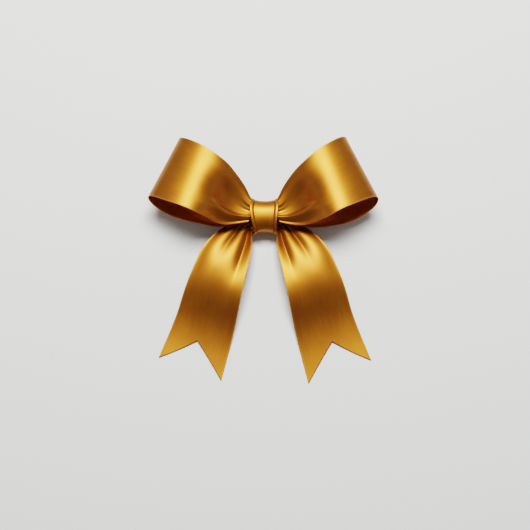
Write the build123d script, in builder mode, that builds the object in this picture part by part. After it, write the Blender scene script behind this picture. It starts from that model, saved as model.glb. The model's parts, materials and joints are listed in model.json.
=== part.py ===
from build123d import *
from math import cos, radians, sin
import os

# A pre-tied gift bow of double-face satin ribbon, lying on its back with its front up.
# One strip of ribbon is folded into two loops and a second one hangs down as two tails.
# A thread cinches both at the middle, and a hemmed band is wrapped over the thread as the
# knot. A foam pad with a peel-off liner on the knot's back sticks the bow to a gift.
#
# Frame: origin at the centre of the release liner's back face, +Z out through the front
# of the knot, +Y towards the loops, +X to the right of someone facing the bow.
# All sizes are in millimetres and all angles in degrees.

# ---- Ribbon ---------------------------------------------------------------------------
ribbon_width = 38.0
ribbon_thickness = 0.4

# ---- Knot band: a strip with both long edges hemmed under, so it is two layers thick ----
band_width = 15.8
band_height = 18.4
knot_depth = 10.0
band_corner = 3.2
lap_length = 8.7
lap_glue_thickness = 0.2
lap_glue_inset = 1.2

# ---- Binding thread -----------------------------------------------------------------------
thread_diameter = 0.5
thread_turns = 5
thread_pitch = 0.62

# ---- Self-adhesive pad --------------------------------------------------------------------
pad_width = 13.0
pad_height = 10.0
pad_corner = 2.0
foam_thickness = 1.6
adhesive_thickness = 0.1
liner_thickness = 0.12
liner_margin = 0.75
liner_tab_length = 6.0
liner_tab_width = 7.0

# ---- Loops: a round fold at the outer end, an arched front and a flatter back -------------
left_loop_length = 52.8
right_loop_length = 51.8
loop_angle = 26.7
loop_tilt = 8.0
fold_radius = 8.8
fold_height = 5.6
front_leaves_fold_at = 65.0
back_leaves_fold_at = -80.0
neck_half_depth = 1.0
neck_half_width = 5.5
neck_solid_length = 5.0
gather_length = 30.0
loop_root_y = 3.4
loop_share_of_knot = 0.66

# ---- Tails: a low hump beside the knot, then flat to a swallowtail end --------------------
left_tail_drop = 83.7
right_tail_drop = 85.3
left_tail_spread = 40.2
right_tail_spread = 41.6
tail_turn = 20.0
notch_depth = 17.0
outer_edge_straight = 50.0
hump_height = 9.6
hump_past_loops = 3.0
landing_y = -60.0
tail_root_y = -0.8
tail_root_height = 4.9
inner_edge_root_x = 6.2

# ---- Clearances ---------------------------------------------------------------------------
thread_clearance = 0.06
wrap_clearance = 0.05
loop_gap = 1.6
tail_gap = 0.5
tail_to_band = 0.5
pad_to_lap_end = 0.2

# ---- Worked out from the sizes above --------------------------------------------------------
band_thickness = 2 * ribbon_thickness
foam_bottom = liner_thickness + adhesive_thickness
foam_top = foam_bottom + foam_thickness
knot_back = foam_top + adhesive_thickness
knot_front = knot_back + knot_depth
lap_bottom_z = knot_back + band_thickness
lap_top_z = lap_bottom_z + lap_glue_thickness
outer_end_y = -pad_height / 2 - pad_to_lap_end
inner_end_y = outer_end_y + lap_length
waist_bottom = lap_top_z + band_thickness + wrap_clearance
waist_top = knot_front - band_thickness - wrap_clearance
waist_depth = waist_top - waist_bottom
waist_middle = (waist_top + waist_bottom) / 2
waist_height = band_height - 2 * band_thickness - 2 * wrap_clearance
waist_corner = band_corner - band_thickness / 2 - wrap_clearance
waist_split = waist_top - loop_share_of_knot * waist_depth
loop_root_z = (waist_split + waist_top) / 2
groove_depth = thread_diameter + 2 * thread_clearance
groove_width = thread_turns * thread_pitch + 2 * thread_clearance
tail_top_y = -band_height / 2 - tail_to_band - tail_gap
hump_y = -ribbon_width / 2 - hump_past_loops
reach = 2 * (max(left_loop_length, right_loop_length) + max(left_tail_drop, right_tail_drop))

LEFT, RIGHT = -1, 1

os.makedirs("parts", exist_ok=True)


def write(part, name):
    """Labels a finished piece and writes it as its own STEP file."""
    part.label = name
    export_step(part, f"parts/{name}.step")


# ---- Knot -----------------------------------------------------------------------------------
# The band starts behind the knot, goes once round it and laps over its own start.
side_y = band_height / 2 - band_thickness / 2
with BuildPart() as knot_band:
    with BuildSketch(Plane.YZ):
        with BuildLine():
            FilletPolyline(
                (inner_end_y, lap_top_z + band_thickness / 2),
                (-side_y, lap_top_z + band_thickness / 2),
                (-side_y, knot_front - band_thickness / 2),
                (side_y, knot_front - band_thickness / 2),
                (side_y, knot_back + band_thickness / 2),
                (outer_end_y, knot_back + band_thickness / 2),
                radius=band_corner,
            )
        trace(line_width=band_thickness)
    extrude(amount=band_width / 2, both=True)

with BuildPart() as lap_glue:
    with BuildSketch(Plane.XY.offset(lap_bottom_z)):
        with Locations((0, (inner_end_y + outer_end_y) / 2)):
            RectangleRounded(
                band_width - 2 * lap_glue_inset, lap_length - 2 * lap_glue_inset, lap_glue_inset
            )
    extrude(amount=lap_glue_thickness)


# ---- Gathered ribbon inside the knot, and the thread that cinches it --------------------------
def waist_outline(inset=0.0):
    """Returns the section of all the gathered ribbon, moved inwards by inset."""
    with BuildSketch() as outline:
        with Locations((0, waist_middle)):
            RectangleRounded(
                waist_height - 2 * inset, waist_depth - 2 * inset, waist_corner - inset
            )
    return outline.sketch


def gathered_waist():
    """Returns the gathered ribbon through the knot, with the groove that the thread pulls in."""
    with BuildPart() as waist:
        with BuildSketch(Plane.YZ):
            add(waist_outline())
        extrude(amount=band_width / 2, both=True)
        with BuildSketch(Plane.YZ):
            add(waist_outline(-groove_depth))
            add(waist_outline(groove_depth), mode=Mode.SUBTRACT)
        extrude(amount=groove_width / 2, both=True, mode=Mode.SUBTRACT)
    return waist.part


split_plane = Plane.XY.offset(waist_split)

with BuildPart() as loop_ribbon_middle:
    add(gathered_waist())
    split(bisect_by=split_plane, keep=Keep.TOP)

with BuildPart() as binding_thread:
    half_y = waist_height / 2 - groove_depth / 2
    half_z = waist_depth / 2 - groove_depth / 2
    for turn in range(thread_turns):
        turn_x = (turn - (thread_turns - 1) / 2) * thread_pitch
        with BuildLine(Plane.YZ.offset(turn_x)):
            wound = FilletPolyline(
                (-half_y, waist_middle - half_z),
                (half_y, waist_middle - half_z),
                (half_y, waist_middle + half_z),
                (-half_y, waist_middle + half_z),
                radius=waist_corner - groove_depth / 2,
                close=True,
            )
        with BuildSketch(Plane(origin=wound @ 0, z_dir=wound % 0)):
            Circle(thread_diameter / 2)
        sweep(path=wound)


# ---- Tails ------------------------------------------------------------------------------------
def tail_sheet():
    """Returns the tails' height: a sheet that rises from the knot, falls and then lies flat."""
    root, crest = (tail_root_y, tail_root_height), (hump_y, hump_height)
    landing = (landing_y, ribbon_thickness / 2)
    halfway = ((crest[0] + landing[0]) / 2, (crest[1] + landing[1]) / 2)
    with BuildPart() as sheet:
        with BuildSketch(Plane.YZ):
            with BuildLine():
                TangentArc(crest, root, tangent=(1, 0))
                TangentArc(crest, halfway, tangent=(-1, 0))
                TangentArc(landing, halfway, tangent=(1, 0))
                Line(landing, (-reach, ribbon_thickness / 2))
            trace(line_width=ribbon_thickness)
        extrude(amount=reach, both=True)
    return sheet.part


def tail_outline(side, spread, drop):
    """Returns a tail in plan: outer edge, shoulder, inner edge and swallowtail notch."""
    across = Vector(side * cos(radians(tail_turn)), sin(radians(tail_turn)))
    upward = Vector(-side * sin(radians(tail_turn)), cos(radians(tail_turn)))
    end_centre = Vector(side * spread, -drop)
    outer_tip = end_centre + across * (ribbon_width / 2)
    inner_tip = end_centre - across * (ribbon_width / 2)
    root = (side * band_width / 2, tail_root_y)
    with BuildSketch() as outline:
        with BuildLine():
            outer_edge = Line(outer_tip, outer_tip + upward * outer_edge_straight)
            TangentArc(outer_edge @ 1, root, tangent=outer_edge % 1)
            Polyline(
                root,
                (side * inner_edge_root_x, tail_top_y),
                inner_tip,
                end_centre + upward * notch_depth,
                outer_tip,
            )
        make_face()
    return outline.sketch


tails = {
    "left_tail": (LEFT, left_tail_spread, left_tail_drop),
    "right_tail": (RIGHT, right_tail_spread, right_tail_drop),
}

# The tail strip's middle: its gathers through the knot and the start of each tail.
tail_root_length = tail_root_y - tail_top_y - tail_gap
with BuildPart() as tail_roots:
    add(tail_sheet())
    with BuildSketch(Plane.XY.offset(-reach)):
        for side, spread, drop in tails.values():
            add(tail_outline(side, spread, drop))
        with Locations((0, tail_root_y - tail_root_length / 2)):
            Rectangle(2 * reach, tail_root_length, mode=Mode.INTERSECT)
            Rectangle(band_width, tail_root_length, mode=Mode.SUBTRACT)
    extrude(amount=2 * reach, mode=Mode.INTERSECT)

with BuildPart() as tail_ribbon_middle:
    add(gathered_waist())
    split(bisect_by=split_plane, keep=Keep.BOTTOM)
    add(tail_roots.part)

for name, (side, spread, drop) in tails.items():
    with BuildPart() as tail:
        add(tail_sheet())
        with BuildSketch(Plane.XY.offset(-reach)):
            add(tail_outline(side, spread, drop))
        extrude(amount=2 * reach, mode=Mode.INTERSECT)
        split(bisect_by=Plane.XZ.offset(-tail_top_y), keep=Keep.TOP)
    write(tail.part, name)


# ---- Loops ------------------------------------------------------------------------------------
def loop_profile(length):
    """Returns a loop seen edge on: neck, arched front, round fold and flatter back."""
    fold_centre = Vector(length - fold_radius, fold_height)
    front_angle, back_angle = radians(front_leaves_fold_at), radians(back_leaves_fold_at)
    front_end = fold_centre + Vector(cos(front_angle), sin(front_angle)) * fold_radius
    back_end = fold_centre + Vector(cos(back_angle), sin(back_angle)) * fold_radius
    with BuildSketch() as profile:
        with BuildLine():
            TangentArc(
                front_end, (0, neck_half_depth), tangent=(-sin(front_angle), cos(front_angle))
            )
            ThreePointArc(front_end, fold_centre + Vector(fold_radius, 0), back_end)
            TangentArc(
                back_end, (0, -neck_half_depth), tangent=(sin(back_angle), -cos(back_angle))
            )
            Polyline(
                (0, neck_half_depth),
                (-neck_solid_length, neck_half_depth),
                (-neck_solid_length, -neck_half_depth),
                (0, -neck_half_depth),
            )
        make_face()
    return profile.sketch


def loop_outline(length):
    """Returns a loop seen face on: gathered at the neck, ribbon-wide from there out."""
    half, end = ribbon_width / 2, length + ribbon_width
    with BuildSketch() as outline:
        with BuildLine():
            for hand in (-1, 1):
                TangentArc(
                    (gather_length, hand * half), (0, hand * neck_half_width), tangent=(-1, 0)
                )
                Line((0, hand * neck_half_width), (-neck_solid_length, hand * neck_half_width))
                Line((gather_length, hand * half), (end, hand * half))
            Line((-neck_solid_length, -neck_half_width), (-neck_solid_length, neck_half_width))
            Line((end, -half), (end, half))
        make_face()
    return outline.sketch


loops = {"left_loop": (LEFT, left_loop_length), "right_loop": (RIGHT, right_loop_length)}

for name, (side, length) in loops.items():
    turn, tilt = radians(loop_angle), radians(loop_tilt)
    along = Vector(side * cos(turn), sin(turn), 0)
    across = Vector(-side * sin(turn), cos(turn), 0)
    outward = across * sin(tilt) + Vector(0, 0, cos(tilt))
    flat = across * cos(tilt) - Vector(0, 0, sin(tilt))
    neck = (side * band_width / 2, loop_root_y, loop_root_z)
    with BuildPart() as loop:
        with BuildSketch(Plane(origin=neck, x_dir=along, z_dir=flat * -side)):
            add(loop_profile(length))
            with BuildSketch(mode=Mode.SUBTRACT):
                offset(loop_profile(length), amount=-ribbon_thickness)
                Rectangle(2 * neck_solid_length, ribbon_width, mode=Mode.SUBTRACT)
        extrude(amount=ribbon_width, both=True)
        with BuildSketch(Plane(origin=neck, x_dir=along, z_dir=outward * side)):
            add(loop_outline(length))
        extrude(amount=ribbon_width, both=True, mode=Mode.INTERSECT)
        loop_start = (side * (band_width / 2 + loop_gap), 0, 0)
        split(bisect_by=Plane(origin=loop_start, z_dir=(side, 0, 0)), keep=Keep.TOP)
    write(loop.part, name)


# ---- Pad, adhesives and liner, stacked on the knot's back -------------------------------------
def pad_layer(bottom, thickness):
    """Returns one layer of the pad, its back face at height bottom."""
    with BuildPart() as layer:
        with BuildSketch(Plane.XY.offset(bottom)):
            RectangleRounded(pad_width, pad_height, pad_corner)
        extrude(amount=thickness)
    return layer.part


with BuildPart() as back_adhesive:
    add(pad_layer(liner_thickness, adhesive_thickness))

with BuildPart() as foam_pad:
    add(pad_layer(foam_bottom, foam_thickness))

with BuildPart() as front_adhesive:
    add(pad_layer(foam_top, adhesive_thickness))

# The liner is a little larger than the pad and has a pull tab at its right-hand edge.
with BuildPart() as release_liner:
    with BuildSketch():
        RectangleRounded(
            pad_width + 2 * liner_margin, pad_height + 2 * liner_margin, pad_corner + liner_margin
        )
        with Locations((pad_width / 2 + liner_margin, 0)):
            SlotOverall(2 * liner_tab_length, liner_tab_width)
    extrude(amount=liner_thickness)

write(knot_band.part, "knot_band")
write(lap_glue.part, "lap_glue")
write(loop_ribbon_middle.part, "loop_ribbon_middle")
write(tail_ribbon_middle.part, "tail_ribbon_middle")
write(binding_thread.part, "binding_thread")
write(back_adhesive.part, "back_adhesive")
write(foam_pad.part, "foam_pad")
write(front_adhesive.part, "front_adhesive")
write(release_liner.part, "release_liner")
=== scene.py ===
import json
import math

import bpy
import numpy as np
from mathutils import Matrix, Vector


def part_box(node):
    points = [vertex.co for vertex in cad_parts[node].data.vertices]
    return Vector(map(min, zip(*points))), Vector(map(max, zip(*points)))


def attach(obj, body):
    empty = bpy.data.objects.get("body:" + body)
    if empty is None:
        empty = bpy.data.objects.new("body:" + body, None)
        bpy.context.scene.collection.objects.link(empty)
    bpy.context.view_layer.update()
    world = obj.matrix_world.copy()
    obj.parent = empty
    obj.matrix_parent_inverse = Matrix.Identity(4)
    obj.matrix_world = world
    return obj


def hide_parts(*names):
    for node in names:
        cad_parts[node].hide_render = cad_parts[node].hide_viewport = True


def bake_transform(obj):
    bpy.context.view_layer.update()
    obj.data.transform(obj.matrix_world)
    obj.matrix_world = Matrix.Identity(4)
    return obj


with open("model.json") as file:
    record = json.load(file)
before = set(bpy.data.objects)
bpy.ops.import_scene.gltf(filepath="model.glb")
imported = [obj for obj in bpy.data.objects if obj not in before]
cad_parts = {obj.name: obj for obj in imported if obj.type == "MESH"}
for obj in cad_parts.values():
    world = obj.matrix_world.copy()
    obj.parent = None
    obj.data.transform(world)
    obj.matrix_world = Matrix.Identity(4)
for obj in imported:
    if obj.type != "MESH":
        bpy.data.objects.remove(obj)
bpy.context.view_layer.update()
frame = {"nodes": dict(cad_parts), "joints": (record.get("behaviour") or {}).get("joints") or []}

# A pre-tied gift bow of gold satin ribbon: two loops, two tails and a knot. Shapes are worked
# out in millimetres in the frame's own axes, +y towards the loops and +z out of the front, and
# turned into metres where a mesh is made. LEFT and RIGHT are the signs of x.
MM = 0.001
LEFT, RIGHT = -1, 1
TURN = 2 * math.pi

RIBBON_WIDTH = 38.0
HALF_WIDTH = RIBBON_WIDTH / 2
RIBBON_THICKNESS = 0.34
SELVEDGE_BEAD = 0.09
SELVEDGE_REACH = 0.6

hinges = {j["name"]: np.array(j["pos_m"]) / MM for j in frame["joints"] if "pos_m" in j}


# ---- Camera, floor and light -------------------------------------------------------------
VIEW_CENTRE = np.array([0.55, -25.8, 0.0])
VIEW_DISTANCE = 600.0
VIEW_LEAN = math.radians(12.0)
LENS = 74.1
NEAREST, FARTHEST = 0.01, 50.0

KEY_PLACE = (0, 400, 820)
LIGHT_TARGET = (0, -20, 0)
KEY_SIZE = (560, 340)
KEY_POWER = 10.0
KEY_COLOUR = (0.98, 1.0, 0.96)
STRIP_SIDE, STRIP_Y, STRIP_HEIGHT = 800, -60, 160
STRIP_SIZE = (120, 500)
STRIP_POWER = 0.35
ROOM_COLOUR = (0.97, 0.95, 0.93, 1.0)
ROOM_STRENGTH = 0.17

FLOOR_SIZE = 12.0
FLOOR_DROP = 0.1


def aimed(name, data, place, target):
    """Puts a camera or a light at a place, looking at a target, both in millimetres."""
    thing = bpy.data.objects.new(name, data)
    bpy.context.collection.objects.link(thing)
    look = np.array(target, float) - np.array(place, float)
    reach = math.hypot(look[0], look[1])
    thing.location = np.array(place) * MM
    thing.rotation_euler = (math.atan2(reach, -look[2]), 0.0, math.atan2(-look[0], look[1]))
    return thing


def set_camera():
    """The camera looks almost straight at the bow's front, leaning back towards the tails."""
    data = bpy.data.cameras.new("camera")
    data.lens = LENS
    data.clip_start, data.clip_end = NEAREST, FARTHEST
    back = np.array([0.0, -math.sin(VIEW_LEAN), math.cos(VIEW_LEAN)]) * VIEW_DISTANCE
    bpy.context.scene.camera = aimed("camera", data, VIEW_CENTRE + back, VIEW_CENTRE)


def area_light(name, place, size, power, colour=(1.0, 1.0, 1.0)):
    """A soft rectangular light on the bow, its size in millimetres and its power in watts."""
    data = bpy.data.lights.new(name, "AREA")
    data.shape = "RECTANGLE"
    data.size, data.size_y = size[0] * MM, size[1] * MM
    data.energy, data.color = power, colour
    return aimed(name, data, place, LIGHT_TARGET)


def set_floor():
    """A wide pale card just under the bow."""
    place = (0.0, 0.0, -FLOOR_DROP * MM)
    bpy.ops.mesh.primitive_plane_add(size=FLOOR_SIZE, location=place)
    card = bpy.context.object
    card.name = "floor"
    pale, shaded = shade(0.93, 0.93, 0.93), shade(0.90, 0.90, 0.90)
    card.data.materials.append(grained("floor_card", pale, shaded, 0.85, 1.1, 0.0))


def set_lights():
    """A soft key light above the bow, low strips for its edges, and dim surroundings."""
    area_light("key", KEY_PLACE, KEY_SIZE, KEY_POWER, KEY_COLOUR)
    for name, side in (("left_strip", LEFT), ("right_strip", RIGHT)):
        area_light(name, (side * STRIP_SIDE, STRIP_Y, STRIP_HEIGHT), STRIP_SIZE, STRIP_POWER)
    world = bpy.data.worlds.new("room")
    bpy.context.scene.world = world
    world.use_nodes = True
    room = world.node_tree.nodes["Background"]
    room.inputs["Color"].default_value = ROOM_COLOUR
    room.inputs["Strength"].default_value = ROOM_STRENGTH
    bpy.context.scene.view_settings.view_transform = "Filmic"
    bpy.context.scene.view_settings.look = "High Contrast"


# ---- Shader maths --------------------------------------------------------------------------
class Wire:
    """A shader value that Python's operators work on: each operator adds one Math node."""

    def __init__(self, finish, socket):
        self.finish, self.socket = finish, socket

    def math(self, operation, *values):
        return self.finish.add("ShaderNodeMath", {"operation": operation}, dict(enumerate(values)))

    def __add__(self, other):
        return self.math("ADD", self, other)

    def __sub__(self, other):
        return self.math("SUBTRACT", self, other)

    def __rsub__(self, other):
        return self.math("SUBTRACT", other, self)

    def __mul__(self, other):
        return self.math("MULTIPLY", self, other)

    def __truediv__(self, other):
        return self.math("DIVIDE", self, other)

    __radd__ = __add__
    __rmul__ = __mul__

    def size(self):
        return self.math("ABSOLUTE", self)

    def wave(self):
        return self.math("SINE", self)

    def step(self, start, end):
        """0 before start, 1 after end and smooth between them."""
        settings = {"interpolation_type": "SMOOTHSTEP"}
        return self.finish.add("ShaderNodeMapRange", settings, {0: self, 1: start, 2: end})


class Finish:
    """A material under construction, with one way to add any node to it."""

    def __init__(self, name):
        self.material = bpy.data.materials.new(name)
        self.material.use_nodes = True
        self.tree = self.material.node_tree
        self.shader = self.tree.nodes["Principled BSDF"]

    def add(self, kind, settings=None, values=None, output=0):
        """Adds a node of this kind: its settings first, then its sockets' values or links."""
        node = self.tree.nodes.new(kind)
        for name, setting in (settings or {}).items():
            setattr(node, name, setting)
        self.fill(node, values or {})
        return Wire(self, node.outputs[output])

    def fill(self, node, values):
        """Gives each named socket its value, or links it to a wire."""
        for socket, value in values.items():
            if isinstance(value, Wire):
                self.tree.links.new(value.socket, node.inputs[socket])
            else:
                node.inputs[socket].default_value = value

    def ribbon_place(self):
        """The place on a ribbon from its UV map, in millimetres: across it, and along it."""
        uv = self.add("ShaderNodeUVMap", {"uv_map": "ribbon"})
        across = self.add("ShaderNodeSeparateXYZ", None, {0: uv}, "X")
        along = self.add("ShaderNodeSeparateXYZ", None, {0: uv}, "Y")
        return across / MM, along / MM

    def vector(self, x, y, z=0.0):
        return self.add("ShaderNodeCombineXYZ", None, {"X": x, "Y": y, "Z": z})

    def noise(self, place, scale, detail=2.0, roughness=0.5):
        values = {"Vector": place, "Scale": scale, "Detail": detail, "Roughness": roughness}
        return self.add("ShaderNodeTexNoise", None, values)

    def tint(self, factor, first, second):
        """A colour that goes from the first to the second as the factor goes from 0 to 1."""
        settings = {"data_type": "RGBA", "blend_type": "MIX"}
        return self.add("ShaderNodeMix", settings, {0: factor, 6: first, 7: second}, 2)

    def bump(self, height, depth, under=None):
        """A normal bent by a height of this depth in millimetres, on top of another normal."""
        values = {"Height": height, "Strength": 1.0, "Distance": depth * MM}
        if under is not None:
            values["Normal"] = under
        return self.add("ShaderNodeBump", None, values)

    def place(self):
        return self.add("ShaderNodeTexCoord", None, None, "Object")

    def done(self, **sockets):
        """Fills the shader's sockets, whose names are written with _ for a space."""
        self.fill(self.shader, {name.replace("_", " "): v for name, v in sockets.items()})
        return self.material


def shade(red, green, blue):
    return (red, green, blue, 1.0)


# ---- Materials ------------------------------------------------------------------------------
THREAD_PITCH = 0.16
FLOAT_SHARE = 0.07
FLOAT_DEPTH = 0.007
RIB_PITCH = 0.42
RIB_DEPTH = 0.0010
DRIFT_ACROSS, DRIFT_ALONG = 0.06, 0.045
DRIFT_RANGE = (0.35, 0.65)
DRIFT_SHARE = 0.4
SELVEDGE_BAND = (HALF_WIDTH - 1.0, HALF_WIDTH - 0.45)
SELVEDGE_HIGHLIGHT_SHARE = 0.3
SELVEDGE_RIBS = 4.0
GRAIN_RANGE = (0.3, 0.7)
GOLD = shade(0.42, 0.145, 0.006)
PALE_GOLD = shade(0.50, 0.185, 0.010)
DEEP_GOLD = shade(0.35, 0.105, 0.004)
# Lighter gold for the selvedge: partly the edge's own firmer weave, partly a painted highlight
# where light catches the ribbon's edges.
SELVEDGE_GOLD_AND_HIGHLIGHT = shade(0.66, 0.34, 0.04)
SATIN_ROUGHNESS = 0.475
FLOAT_ROUGHNESS = 0.10
SELVEDGE_ROUGHNESS = 0.06
GRAIN_ROUGHNESS = 0.2


def gold_satin():
    """Double-face satin: smooth lengthwise floats over fine cross ribs, and a firmer selvedge
    whose gold is painted lighter, partly its own weave and partly a painted highlight along each
    edge.
    """
    satin = Finish("gold_satin")
    across, along = satin.ribbon_place()
    threads = satin.vector(across / (2 * THREAD_PITCH), along * FLOAT_SHARE)
    floats = satin.noise(threads, 1.0, 3.0, 0.6)
    drift = satin.noise(satin.vector(across * DRIFT_ACROSS, along * DRIFT_ALONG), 1.0, 2.0)
    selvedge = across.size().step(*SELVEDGE_BAND)
    roughness = SATIN_ROUGHNESS + (floats - 0.5) * FLOAT_ROUGHNESS
    cloth = satin.tint(floats.step(*GRAIN_RANGE), GOLD, PALE_GOLD)
    cloth = satin.tint(drift.step(*DRIFT_RANGE) * DRIFT_SHARE, cloth, DEEP_GOLD)
    # Painted highlight: each edge is tinted towards a lighter gold, standing partly for light
    # caught along the selvedge.
    cloth = satin.tint(selvedge * SELVEDGE_HIGHLIGHT_SHARE, cloth, SELVEDGE_GOLD_AND_HIGHLIGHT)
    ribs = (along * (TURN / RIB_PITCH)).wave()
    weave = satin.bump(floats, FLOAT_DEPTH)
    weave = satin.bump(ribs * (1.0 + selvedge * SELVEDGE_RIBS), RIB_DEPTH, weave)
    return satin.done(
        Base_Color=cloth,
        Metallic=1.0,
        Roughness=roughness + selvedge * SELVEDGE_ROUGHNESS,
        Normal=weave,
        Coat_Weight=0.6,
        Coat_Roughness=0.40,
    )


def grained(name, light, dark, roughness, grain, depth, **sockets):
    """A matt finish of two close colours in a fine grain, fixed to the object's own place."""
    finish = Finish(name)
    speckle = finish.noise(finish.place(), 1.0 / (grain * MM), 3.0)
    return finish.done(
        Base_Color=finish.tint(speckle.step(*GRAIN_RANGE), dark, light),
        Roughness=roughness + (speckle - 0.5) * GRAIN_ROUGHNESS,
        Normal=finish.bump(speckle, depth),
        **sockets,
    )


# ---- Ribbon geometry -------------------------------------------------------------------------
BELL_TAIL = 3
EDGE_INSETS = (0.0, 0.04, 0.12, 0.26, 0.5, 0.85)
MIDDLE_INSET = 1.3
FADE_FROM = 0.4
CREASE_ROUNDING = 0.2
RIDGE_POWER, VALLEY_POWER = 2.0, 1.5
PLEAT_HEIGHT = 0.12
PLEAT_PITCH = 4.6
PLEATS_FADE = (4.0, 15.0)
STEEPEST_RUN = 0.25
FOLD_SQUEEZE = 0.6


def bent_line(stations, headings, soften, step=0.5):
    """A line in a plane from its heading in degrees: straight between stations, softened by a
    bell curve, then summed up in small steps. Gives the length and the place of each point."""
    length = np.arange(0.0, stations[-1] + step / 2, step)
    reach = np.arange(-BELL_TAIL * soften, BELL_TAIL * soften + step / 2, step)
    bell = np.exp(-0.5 * (reach / soften) ** 2)
    heading = np.radians(np.interp(length, stations, headings))
    heading = np.pad(heading, len(bell) // 2, mode="edge")
    heading = np.convolve(heading, bell / bell.sum(), mode="valid")[: len(length)]
    steps = np.column_stack([np.cos(heading), np.sin(heading)]) * step
    points = np.vstack([[0.0, 0.0], np.cumsum((steps[1:] + steps[:-1]) / 2, axis=0)])
    return length, points


def smooth_through(stations, values, at):
    """A smooth line through values at stations: on each span a cubic that meets the slopes
    through its neighbours. Values may be numbers or points."""
    stations = np.array(stations, float)
    values = np.array(values, float)
    slopes = np.gradient(values, stations, axis=0)
    span = np.clip(np.searchsorted(stations, at, side="right") - 1, 0, len(stations) - 2)
    width = stations[span + 1] - stations[span]
    t = (at - stations[span]) / width
    if values.ndim > 1:
        t, width = t[:, None], width[:, None]
    start, end = values[span], values[span + 1]
    rise, fall = slopes[span] * width, slopes[span + 1] * width
    even = t * t * (3 - 2 * t)
    return start + (end - start) * even + rise * t * (1 - t) ** 2 - fall * t * t * (1 - t)


def eased(values, start, end):
    """0 where values are before start, 1 after end, and smooth between them."""
    t = np.clip((values - start) / (end - start), 0.0, 1.0)
    return t * t * (3 - 2 * t)


def unit(vectors):
    return vectors / np.linalg.norm(vectors, axis=-1, keepdims=True)


def ribbon_columns(count=109):
    """Places across the ribbon: even in the middle and close together at each rounded edge."""
    edge = HALF_WIDTH - np.array(EDGE_INSETS)
    middle = np.linspace(MIDDLE_INSET - HALF_WIDTH, HALF_WIDTH - MIDDLE_INSET, count)
    return np.concatenate([-edge, middle, edge[::-1]])


def ridges_and_pleats(distance, columns, ridges):
    """The ribbon's height in folds: a sum of round ridges, and sharper valleys where the height
    is negative, each (place across, breadth, height, distance from the knot at which it ends),
    and close pleats, a sine across the ribbon, that end a short way out of the knot."""
    height = np.zeros((len(distance), len(columns)))
    for centre, breadth, rise, ends in ridges:
        fading = 1 - eased(distance, FADE_FROM * ends, ends)
        away = np.hypot(columns - centre, CREASE_ROUNDING) / breadth
        bell = np.exp(-(away ** (RIDGE_POWER if rise > 0 else VALLEY_POWER)))
        height += rise * fading[:, None] * bell[None, :]
    tight = PLEAT_HEIGHT * (1 - eased(distance, *PLEATS_FADE))
    return height + tight[:, None] * np.sin(TURN * columns / PLEAT_PITCH)[None, :]


def gathered(first_edge, second_edge, outward, height, columns):
    """A ribbon between two edge lines that rises outwards by its folds. Its width is used up
    along the folds, and what is left is spread evenly between the two edges."""
    steps = np.diff(columns)[None, :]
    rise = np.diff(height, axis=1)
    run = np.sqrt(np.clip(steps**2 - rise**2, (STEEPEST_RUN * steps) ** 2, None))
    run = np.hstack([np.zeros((len(height), 1)), np.cumsum(run, axis=1)])
    share = run / run[:, -1:]
    span = second_edge - first_edge
    size = np.minimum(np.linalg.norm(span, axis=1)[:, None] / run[:, -1:], 1.0)
    level = height - height.mean(axis=1, keepdims=True)
    folds = (level * size**FOLD_SQUEEZE)[..., None] * outward[:, None, :]
    return first_edge[:, None, :] + share[..., None] * span[:, None, :] + folds


def selvedge_thickness(columns):
    """Half the ribbon's thickness at each column: a thin sheet with a small bead along each
    edge, closed by a quarter-round lip."""
    inset = HALF_WIDTH - np.abs(columns)
    half = RIBBON_THICKNESS / 2 + SELVEDGE_BEAD * np.exp(-((inset / SELVEDGE_REACH) ** 2))
    lip = RIBBON_THICKNESS / 2 + SELVEDGE_BEAD
    return half * np.sqrt(np.clip(1 - (1 - np.clip(inset / lip, 0, 1)) ** 2, 0, 1))


def add_mesh(name, points, faces, material):
    mesh = bpy.data.meshes.new(name)
    mesh.from_pydata(points * MM, [], faces)
    mesh.shade_smooth()
    mesh.materials.append(material)
    piece = bpy.data.objects.new(name, mesh)
    bpy.context.collection.objects.link(piece)
    return piece


def strip(name, surface, columns, along, half_thickness, material):
    """A closed ribbon round a grid of points: the grid moved outwards and inwards along its
    normals by half its thickness, joined at both edges and capped at both ends."""
    rows, count = surface.shape[:2]
    normal = unit(np.cross(np.gradient(surface, axis=1), np.gradient(surface, axis=0)))
    offset = normal * half_thickness[None, :, None]
    points = np.concatenate([surface + offset, (surface - offset)[:, -2:0:-1]], axis=1)
    ring = points.shape[1]
    index = np.arange(rows * ring).reshape(rows, ring)
    turned = np.roll(index, -1, axis=1)
    sides = np.stack([index[:-1], turned[:-1], turned[1:], index[1:]], axis=-1).reshape(-1, 4)
    upper, lower = np.arange(count), (ring - np.arange(count)) % ring
    lower[-1] = count - 1
    cap = np.stack([upper[:-1], lower[:-1], lower[1:], upper[1:]], axis=-1)
    caps = np.concatenate([index[0][cap], index[-1][cap[:, ::-1]]])
    caps = [list(dict.fromkeys(face)) for face in caps.tolist()]
    piece = add_mesh(name, points.reshape(-1, 3), sides.tolist() + caps, material)
    place = np.stack(np.broadcast_arrays(columns[None, :], along), axis=-1)
    place = np.concatenate([place, place[:, -2:0:-1]], axis=1).reshape(-1, 2) * MM
    corner = np.empty(len(piece.data.loops), dtype=np.int32)
    piece.data.loops.foreach_get("vertex_index", corner)
    piece.data.uv_layers.new(name="ribbon").data.foreach_set("uv", place[corner].ravel())
    return piece


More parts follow.
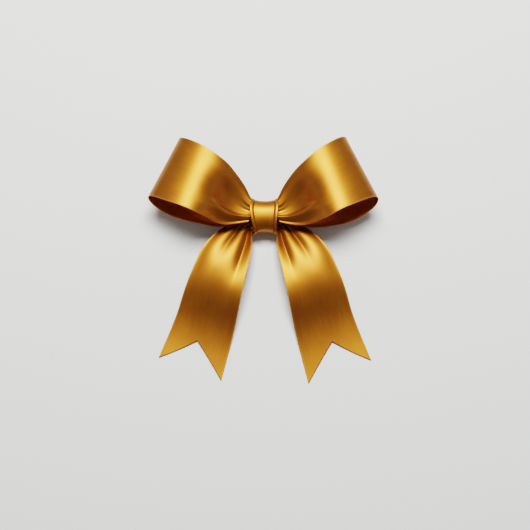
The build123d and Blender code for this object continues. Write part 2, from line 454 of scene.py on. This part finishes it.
# ---- Loops -----------------------------------------------------------------------------------
LOOP_ANGLE = math.radians(26.7)
LOOP_TILT = math.radians(8.0)
NECK_INSIDE = 6.0
NECK_LAYER = 1.2
BEND_SOFTNESS = 1.6
END_TRIM = 2.9
LOOP_STATIONS = (0, 5, 10, 19, 27, 37, 42, 48, 61, 76, 84, 125, 131)
LOOP_HEADINGS = (0, 0, 16, 29, 44, 17, 2, -15, -32, -158, -174, -194, -180)
LOOP_REACH = 53.6
FOLD_SLANT = ((0, 15, 40, 55, 68, 90, 131), (0.0, 0.03, 0.14, 0.12, 0.03, 0.0, 0.0))
LOOPS = {
    "left_loop": dict(
        side=LEFT,
        reach=52.1,
        stations=(0, 8.5, 14, 25, 39, 52, 68, 85, 103, 118, 125, 131),
        upper=(4.0, 5.9, 9.3, 13.2, 14.9, 16.2, 17.0, 14.6, 13.0, 7.5, 4.5, 4.0),
        lower=(-4.5, -11.0, -15.0, -17.9, -20.6, -21.4, -21.0, -21.9, -19.0, -14.2, -8.0, -4.5),
        ridges=(
            (-21.0, 3.2, 1.4, 36),
            (-10.5, 4.6, 2.5, 40),
            (-8.4, 2.4, 1.3, 35),
            (15.0, 8.5, 3.4, 44),
        ),
    ),
    "right_loop": dict(
        side=RIGHT,
        reach=51.0,
        stations=(0, 8.5, 14, 22, 33, 46, 68, 78, 89, 101, 115, 125, 131),
        upper=(4.0, 5.4, 8.8, 12.0, 13.7, 15.9, 17.8, 15.2, 13.4, 12.5, 8.5, 4.5, 4.0),
        lower=(-4.5, -11.6, -15.3, -18.2, -21.0, -21.6, -21.3, -22.9, -23.4, -21.3, -16.0,
               -8.0, -4.5),
        ridges=(
            (-21.0, 3.2, 1.4, 36),
            (-10.3, 4.6, 2.5, 39),
            (-8.2, 2.4, 1.3, 34),
            (15.0, 8.5, 3.4, 42),
        ),
    ),
}


def loop_ribbon(name, satin, side, reach, stations, upper, lower, ridges):
    """One loop: its spine, bent by its headings in the loop's own tilted plane, runs out of the
    knot, over an arched front, round the fold and back underneath. Its edges stand off the
    spine by their own lengths at each station, from the knot's height to the full width."""
    along = np.array([side * math.cos(LOOP_ANGLE), math.sin(LOOP_ANGLE), 0.0])
    across = np.array([-side * math.sin(LOOP_ANGLE), math.cos(LOOP_ANGLE), 0.0])
    up = np.array([0.0, 0.0, 1.0])
    out = across * math.sin(LOOP_TILT) + up * math.cos(LOOP_TILT)
    flat = across * math.cos(LOOP_TILT) - up * math.sin(LOOP_TILT)
    hinge = hinges[name + "_lift"]
    length, line = bent_line(LOOP_STATIONS, LOOP_HEADINGS, BEND_SOFTNESS)
    kept = np.minimum(length, length[-1] - length) > END_TRIM
    length, line = length[kept], line[kept]
    u = line[:, 0] - NECK_INSIDE
    u = np.where(u > 0, u * reach / LOOP_REACH, u)
    spine = hinge + u[:, None] * along + (line[:, 1] + NECK_LAYER)[:, None] * out
    slant = flat + smooth_through(*FOLD_SLANT, length)[:, None] * along
    upper_edge = spine + smooth_through(stations, upper, length)[:, None] * slant
    lower_edge = spine + smooth_through(stations, lower, length)[:, None] * slant
    heading = unit(np.gradient(line, axis=0))
    outward = heading[:, :1] * out - heading[:, 1:] * along
    columns = ribbon_columns()
    from_knot = np.minimum(length, LOOP_STATIONS[-1] - length)
    height = ridges_and_pleats(from_knot, columns, ridges)
    surface = gathered(lower_edge, upper_edge, outward, height, columns)
    if side == RIGHT:
        surface, columns = surface[:, ::-1], columns[::-1]
    thickness = selvedge_thickness(columns)
    piece = strip(name + "_ribbon", surface, columns, length[:, None], thickness, satin)
    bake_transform(piece)
    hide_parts(name)
    flat = (RIBBON_WIDTH * MM, (length[-1] - length[0]) * MM)


# ---- Tails -----------------------------------------------------------------------------------
NOTCH_DEPTH = 17.3
NOTCH_PLACE = 1.3
TAIL_ROWS = 185
HUMP_SOFTNESS = 4.0
EDGE_STATIONS = (0, 8, 18, 28, 38, 62, 92)
INNER_HUMP = ((0, 5, 16, 28, 38, 48, 57, 66, 78, 92), (0, 8, 19, 15, 2, -14, -26, -15, -4, 1))
OUTER_HUMP = (
    (0, 5, 12, 20, 28, 36, 45, 54, 65, 78, 92),
    (0, 12, 29, 24, 4, -11, -24, -19, -7, -2, 1),
)
TAILS = {
    "left_tail": dict(
        side=LEFT,
        inner=((-3.0, -3.0), (-6.7, -8.0), (-6.7, -16.0), (-8.5, -27.5), (-10.7, -37.5),
               (-15.5, -60.0), (-23.0, -89.6)),
        outer=((-5.0, 1.2), (-14.2, -0.9), (-24.6, -7.5), (-33.1, -17.3), (-39.4, -31.0),
               (-47.4, -53.5), (-56.8, -76.9)),
        ridges=(
            (-19.0, 3.0, 0.8, 40),
            (-11.4, 4.2, -2.8, 44),
            (3.6, 4.6, -2.8, 35),
            (19.0, 8.0, -4.0, 60),
        ),
    ),
    "right_tail": dict(
        side=RIGHT,
        inner=((3.0, -3.0), (6.9, -8.0), (7.3, -16.0), (9.3, -27.5), (11.4, -37.5),
               (16.2, -60.0), (23.9, -91.2)),
        outer=((5.0, 1.2), (14.8, -0.7), (25.3, -7.5), (34.2, -17.2), (40.7, -31.0),
               (48.2, -53.5), (57.9, -78.5)),
        ridges=(
            (-19.0, 3.0, 0.8, 36),
            (-11.8, 3.9, -2.6, 39),
            (2.4, 4.8, -3.0, 38),
            (19.0, 8.0, -4.0, 60),
        ),
    ),
}


def tail_level(length, stations, slopes):
    """The height of a tail's edge above the floor, from its slope in degrees."""
    steps, line = bent_line(stations, slopes, HUMP_SOFTNESS)
    level = np.interp(length, steps, line[:, 1])
    return level - level.min() + RIBBON_THICKNESS / 2 + SELVEDGE_BEAD


def tail_ribbon(name, satin, side, inner, outer, ridges):
    """One tail: its edges curve out of the knot and then run straight to the tips, and it rises
    over a low hump and sinks to the floor. Its end is cut to a V: each column's points are
    spread evenly over its own length, which is shortest at the notch."""
    length = np.linspace(0.0, EDGE_STATIONS[-1], TAIL_ROWS)
    inner_edge, outer_edge = (smooth_through(EDGE_STATIONS, e, length) for e in (inner, outer))
    inner_edge = np.column_stack([inner_edge, tail_level(length, *INNER_HUMP)])
    outer_edge = np.column_stack([outer_edge, tail_level(length, *OUTER_HUMP)])
    heading = unit(np.gradient((inner_edge + outer_edge) / 2, axis=0))
    outward = unit(np.cross(heading, outer_edge - inner_edge) * side)
    columns = ribbon_columns()
    height = ridges_and_pleats(length, columns, ridges)
    surface = gathered(inner_edge, outer_edge, outward, height, columns)
    notch = np.interp(columns, (-HALF_WIDTH, NOTCH_PLACE, HALF_WIDTH), (0, NOTCH_DEPTH, 0))
    along = np.linspace(0.0, 1.0, TAIL_ROWS)[:, None] * (length[-1] - notch)[None, :]
    row = along / (length[1] - length[0])
    low = np.clip(row.astype(int), 0, len(length) - 2)
    part = (row - low)[..., None]
    column = np.arange(len(columns))[None, :]
    surface = surface[low, column] * (1 - part) + surface[low + 1, column] * part
    if side == RIGHT:
        surface, columns, along = surface[:, ::-1], columns[::-1], along[:, ::-1]
    piece = strip(name + "_ribbon", surface, columns, along, selvedge_thickness(columns), satin)
    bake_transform(piece)
    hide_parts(name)


# ---- Knot ------------------------------------------------------------------------------------
BAND_THICKNESS = 0.4
BAND_ROWS = 221
BAND_LIP = (0.0, 0.05, 0.14)
HEM_START, HEM_STEP = 0.26, 0.11
HEM_WIDTH = 2.0
HEM_SWELL, HEM_SPREAD = 0.36, 0.62
CREASE_DEPTH, CREASE_SPREAD = 0.50, 0.20
PINCH, PINCH_POWER = 1.5, 2.4
FRONT_RANGE = (-0.5, 0.6)
FRONT_SHARE = 0.45
BULGE, BULGE_CENTRE, BULGE_REACH = 2.5, 1.0, 11.0
BOX_POWER, BACK_POWER = 3.8, 1.2
FOOT_REACH, HEAD_REACH = 1.1, 0.3
LAP_TURN = 0.44
LAP_RAMP = 0.7
LAP_STEP = 0.6
BACK_WIDTH = 0.95
KNOT_EDGE_HEIGHTS = (-9.2, -6.0, -1.0, 3.0, 9.2)
KNOT_LEFT_EDGE = (-4.9, -6.2, -7.3, -7.7, -6.7)
KNOT_RIGHT_EDGE = (6.7, 6.9, 7.3, 7.7, 7.6)


def knot_columns(half_width):
    """Places across the knot's band, closer together over its two rolled hems."""
    hem = np.arange(HEM_START, 1.5 * HEM_WIDTH, HEM_STEP)
    edge = half_width - np.concatenate([BAND_LIP, hem])
    middle = np.linspace(0.3 - edge[-1], edge[-1] - 0.3, 29)
    return np.concatenate([-edge, middle, edge[::-1]])


def knot_wrap(satin):
    """The knot's band: a strip carried once round a rounded box and lapped over its own end at
    the back. The box is |y| and |z| to a power, whose sum is the same all round, and the power
    makes it squarer behind than in front. The front bulges in a low arch, and the strip is
    pinched in between its rolled hems, which are bell curves across it."""
    low, high = (np.array(corner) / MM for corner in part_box("knot_band"))
    middle, half = (low + high) / 2, (high - low) / 2
    columns = knot_columns(half[0])
    inset = half[0] - np.abs(columns)
    turned = np.linspace(0.0, TURN + 2 * LAP_TURN, BAND_ROWS)
    angle = LAP_TURN - TURN / 4 - turned
    power = BOX_POWER - BACK_POWER * np.sin(angle)
    radius = (np.abs(np.cos(angle)) ** power + np.abs(np.sin(angle)) ** power) ** (-1 / power)
    y, z = np.cos(angle) * radius, np.sin(angle) * radius
    front = eased(z, *FRONT_RANGE)
    under = LAP_STEP * (1 - eased(turned, 2 * LAP_TURN, 2 * LAP_TURN + LAP_RAMP))
    pinch = PINCH * (1 - (np.abs(columns) / half[0]) ** PINCH_POWER)
    hem = HEM_SWELL * np.exp(-(((inset - HEM_WIDTH / 2) / HEM_SPREAD) ** 2))
    crease = CREASE_DEPTH * np.exp(-(((inset - HEM_WIDTH) / CREASE_SPREAD) ** 2))
    relief = hem - crease - pinch
    bulge = BULGE * front * (1 - ((y * half[1] - BULGE_CENTRE) / BULGE_REACH) ** 2)
    reach = half[1] - BAND_THICKNESS / 2 + np.where(y < 0, FOOT_REACH, HEAD_REACH)
    radial_y = (reach[:, None] - under[:, None] + relief[None, :]) * y[:, None]
    depth = half[2] - BAND_THICKNESS / 2 - under[:, None]
    depth = depth + relief[None, :] * (FRONT_SHARE * front[:, None])
    radial_z = middle[2] + depth * z[:, None] + bulge[:, None]
    left = smooth_through(KNOT_EDGE_HEIGHTS, KNOT_LEFT_EDGE, y * half[1])
    right = smooth_through(KNOT_EDGE_HEIGHTS, KNOT_RIGHT_EDGE, y * half[1])
    left = left * front - half[0] * BACK_WIDTH * (1 - front)
    right = right * front + half[0] * BACK_WIDTH * (1 - front)
    share = (columns / half[0] + 1) / 2
    wide = left[:, None] * (1 - share[None, :]) + right[:, None] * share[None, :]
    surface = np.stack([wide, radial_y, radial_z], axis=-1)
    half_thickness = BAND_THICKNESS / 2
    lip = np.sqrt(np.clip(1 - np.clip(1 - inset / half_thickness, 0, 1) ** 2, 0, 1))
    along = (turned * (half[1] + half[2]) / 2)[:, None]
    piece = strip("knot_wrap", surface, columns, along, half_thickness * lip, satin)
    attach(piece, "knot")
    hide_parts("knot_band")


LOOP_WAIST = dict(node="loop_ribbon_middle", low=-1.2, high=7.0, rise=1.65, folds=5)
TAIL_WAIST = dict(node="tail_ribbon_middle", low=-7.0, high=6.2, rise=0.95, folds=9)
WAIST_LAYERS = {
    "loop_middle_front": dict(LOOP_WAIST, level=9.1),
    "loop_middle_back": dict(LOOP_WAIST, level=8.2),
    "tail_middle": dict(TAIL_WAIST, level=5.0),
}
WAIST_REACH = 5.1
WAIST_ROWS = 13
WAIST_HALF_THICKNESS = 0.11
COLUMNS_PER_FOLD = 24


def waist_gather(name, satin, node, low, high, rise, folds, level):
    """The short middle length of a ribbon, held in the knot in tight accordion folds: a sine
    wave across the ribbon, the same all along the knot."""
    columns = np.linspace(-HALF_WIDTH, HALF_WIDTH, COLUMNS_PER_FOLD * folds + 1)
    share = np.linspace(0.0, 1.0, len(columns))
    along = np.linspace(-WAIST_REACH, WAIST_REACH, WAIST_ROWS)
    y = low + (high - low) * share
    z = level + rise * np.sin(TURN * folds * share)
    grid = np.broadcast_arrays(-along[:, None], y[None, :], z[None, :])
    thickness = np.full(len(columns), WAIST_HALF_THICKNESS)
    thickness[[0, -1]] = 0.0
    piece = strip(name, np.stack(grid, axis=-1), columns, along[:, None], thickness, satin)
    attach(piece, "knot")
    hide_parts(node)


THREAD_RADIUS = 0.24
THREAD_TURNS = 5
TURN_PITCH = 0.62
ROWS_PER_TURN = 140
THREAD_SIDES = 12
WINDING_POWER = 4.0
WINDING_HEIGHT, WINDING_LEVEL, WINDING_DEPTH = 7.0, 7.35, 3.45
PLY_DEPTH, PLY_TWIST = 0.10, 5.0


def binding_thread(material):
    """Two-ply thread wound round the waist: a tube carried along a helix on a rounded box, its
    radius swelling and shrinking twice round, with a twist that runs along it."""
    turned = np.linspace(0.0, TURN * THREAD_TURNS, ROWS_PER_TURN * THREAD_TURNS)
    cosine, sine = np.cos(turned), np.sin(turned)
    radius = np.abs(cosine) ** WINDING_POWER + np.abs(sine) ** WINDING_POWER
    radius = radius ** (-1 / WINDING_POWER)
    x = TURN_PITCH * (turned / TURN - THREAD_TURNS / 2)
    y = WINDING_HEIGHT * cosine * radius
    z = WINDING_LEVEL + WINDING_DEPTH * sine * radius
    path = np.stack([x, y, z], axis=1)
    heading = unit(np.gradient(path, axis=0))
    side = np.broadcast_to(np.array([1.0, 0.0, 0.0]), path.shape)
    out = unit(np.cross(heading, side))
    around = np.linspace(0.0, TURN, THREAD_SIDES, endpoint=False)
    ply = 1 + PLY_DEPTH * np.cos(2 * around[None, :] - PLY_TWIST * turned[:, None])
    ring = np.cos(around)[None, :, None] * side[:, None]
    ring = ring + np.sin(around)[None, :, None] * out[:, None]
    points = path[:, None, :] + THREAD_RADIUS * ply[..., None] * ring
    index = np.arange(len(points) * THREAD_SIDES).reshape(-1, THREAD_SIDES)
    beside = np.roll(index, -1, axis=1)
    quads = np.stack([index[:-1], index[1:], beside[1:], beside[:-1]], axis=-1).reshape(-1, 4)
    caps = [index[0].tolist(), index[-1][::-1].tolist()]
    piece = add_mesh("thread_winding", points.reshape(-1, 3), quads.tolist() + caps, material)
    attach(piece, "knot")
    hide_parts("binding_thread")


BACK_FINISHES = {
    "hot_glue": dict(
        nodes=("lap_glue",),
        light=shade(0.80, 0.76, 0.64),
        dark=shade(0.72, 0.67, 0.54),
        roughness=0.32,
        grain=0.6,
        depth=0.03,
    ),
    "adhesive_film": dict(
        nodes=("front_adhesive", "back_adhesive"),
        light=shade(0.83, 0.82, 0.76),
        dark=shade(0.77, 0.76, 0.70),
        roughness=0.25,
        grain=0.8,
        depth=0.01,
    ),
    "white_foam": dict(
        nodes=("foam_pad",),
        light=shade(0.86, 0.86, 0.84),
        dark=shade(0.66, 0.66, 0.65),
        roughness=0.85,
        grain=0.16,
        depth=0.10,
    ),
    "liner_paper": dict(
        nodes=("release_liner",),
        light=shade(0.86, 0.83, 0.74),
        dark=shade(0.80, 0.76, 0.66),
        roughness=0.38,
        grain=0.35,
        depth=0.008,
    ),
}


def dress(name, nodes, **finish):
    """Gives the nodes that keep their own shape a finish."""
    material = grained(name, **finish)
    for node in nodes:
        for slot in frame["nodes"][node].material_slots:
            slot.material = material


set_camera()
set_floor()
set_lights()
satin = gold_satin()
for loop_name, shape in LOOPS.items():
    loop_ribbon(loop_name, satin, **shape)
for tail_name, shape in TAILS.items():
    tail_ribbon(tail_name, satin, **shape)
knot_wrap(satin)
for layer_name, layer in WAIST_LAYERS.items():
    waist_gather(layer_name, satin, **layer)
thread_gold = shade(0.62, 0.40, 0.10)
binding_thread(grained("cotton_thread", thread_gold, shade(0.42, 0.24, 0.05), 0.7, 0.12, 0.02))
for finish_name, finish in BACK_FINISHES.items():
    dress(finish_name, **finish)
